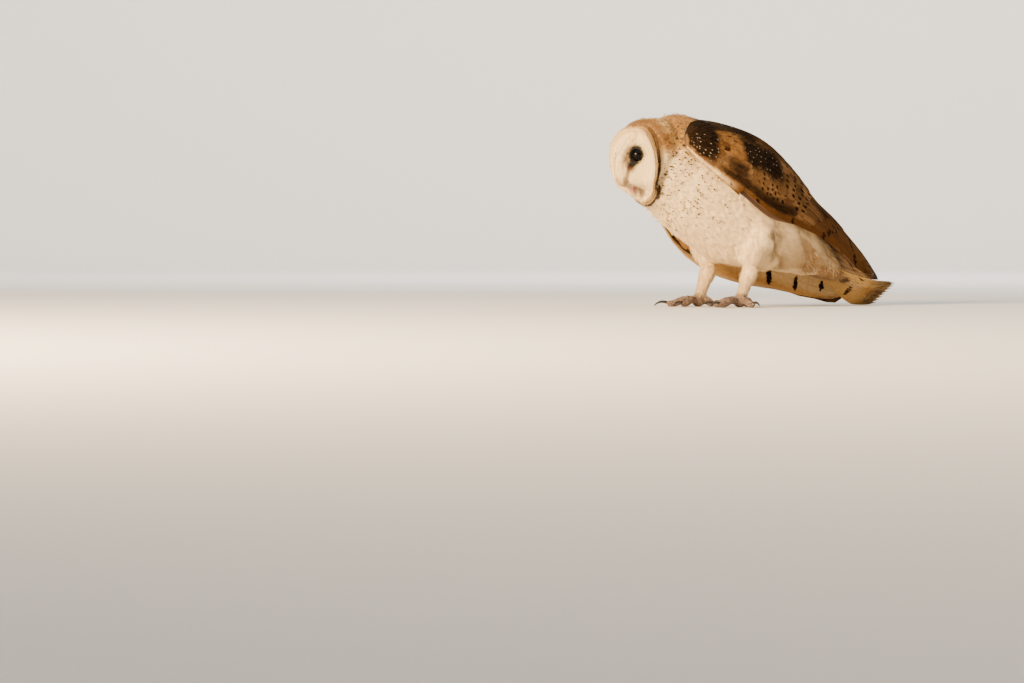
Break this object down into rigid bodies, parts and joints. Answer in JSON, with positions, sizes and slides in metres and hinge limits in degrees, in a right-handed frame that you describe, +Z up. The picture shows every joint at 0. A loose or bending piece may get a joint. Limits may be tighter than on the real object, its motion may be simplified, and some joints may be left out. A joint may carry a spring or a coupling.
{
  "type": "barn owl, standing still model",
  "caption": "Life-size still model of a barn owl standing with its body leaning forward, its head lowered, its wings folded and its tail tip on the floor.",
  "frame": {"origin": "on the floor, under the middle of the owl's bounding box", "axes": "+Z up, the bird faces -Y, its left side is +X"},
  "size_m": [0.149, 0.356, 0.2027],
  "materials": {
    "head_plumage": "soft matte plumage: cream-white facial disc, golden-buff crown with fine dark specks",
    "neck_plumage": "soft matte plumage: buff above with small dark specks, white below",
    "body_plumage": "soft matte plumage: cream-white with sparse small dark dots",
    "wing_feathers": "matte feathers: tan and rufous with grey-black patches, pearly dots and dark bars",
    "tail_feathers": "matte feathers: buff-white below with short dark bars, golden and mottled grey above",
    "leg_plumage": "short downy cream-white plumage",
    "toe_skin": "scaly brownish-grey skin with sparse bristles",
    "claw_horn": "smooth black-brown horn",
    "bill": "pale pinkish horn, slightly glossy",
    "eye": "wet, near-black eye"
  },
  "bodies": {
    "root": {"head": "head_plumage", "neck": "neck_plumage", "trunk": "body_plumage", "eye_left": "eye", "eye_right": "eye", "bill_upper": "bill", "bill_lower": "bill", "wing_left": "wing_feathers", "wing_right": "wing_feathers", "tail": "tail_feathers", "thigh_left": "leg_plumage", "shank_left": "leg_plumage", "toe_hallux_left": "toe_skin", "claw_hallux_left": "claw_horn", "toe_inner_left": "toe_skin", "claw_inner_left": "claw_horn", "toe_middle_left": "toe_skin", "claw_middle_left": "claw_horn", "toe_outer_left": "toe_skin", "claw_outer_left": "claw_horn", "thigh_right": "leg_plumage", "shank_right": "leg_plumage", "toe_hallux_right": "toe_skin", "claw_hallux_right": "claw_horn", "toe_inner_right": "toe_skin", "claw_inner_right": "claw_horn", "toe_middle_right": "toe_skin", "claw_middle_right": "claw_horn", "toe_outer_right": "toe_skin", "claw_outer_right": "claw_horn"}
  },
  "joints": []
}
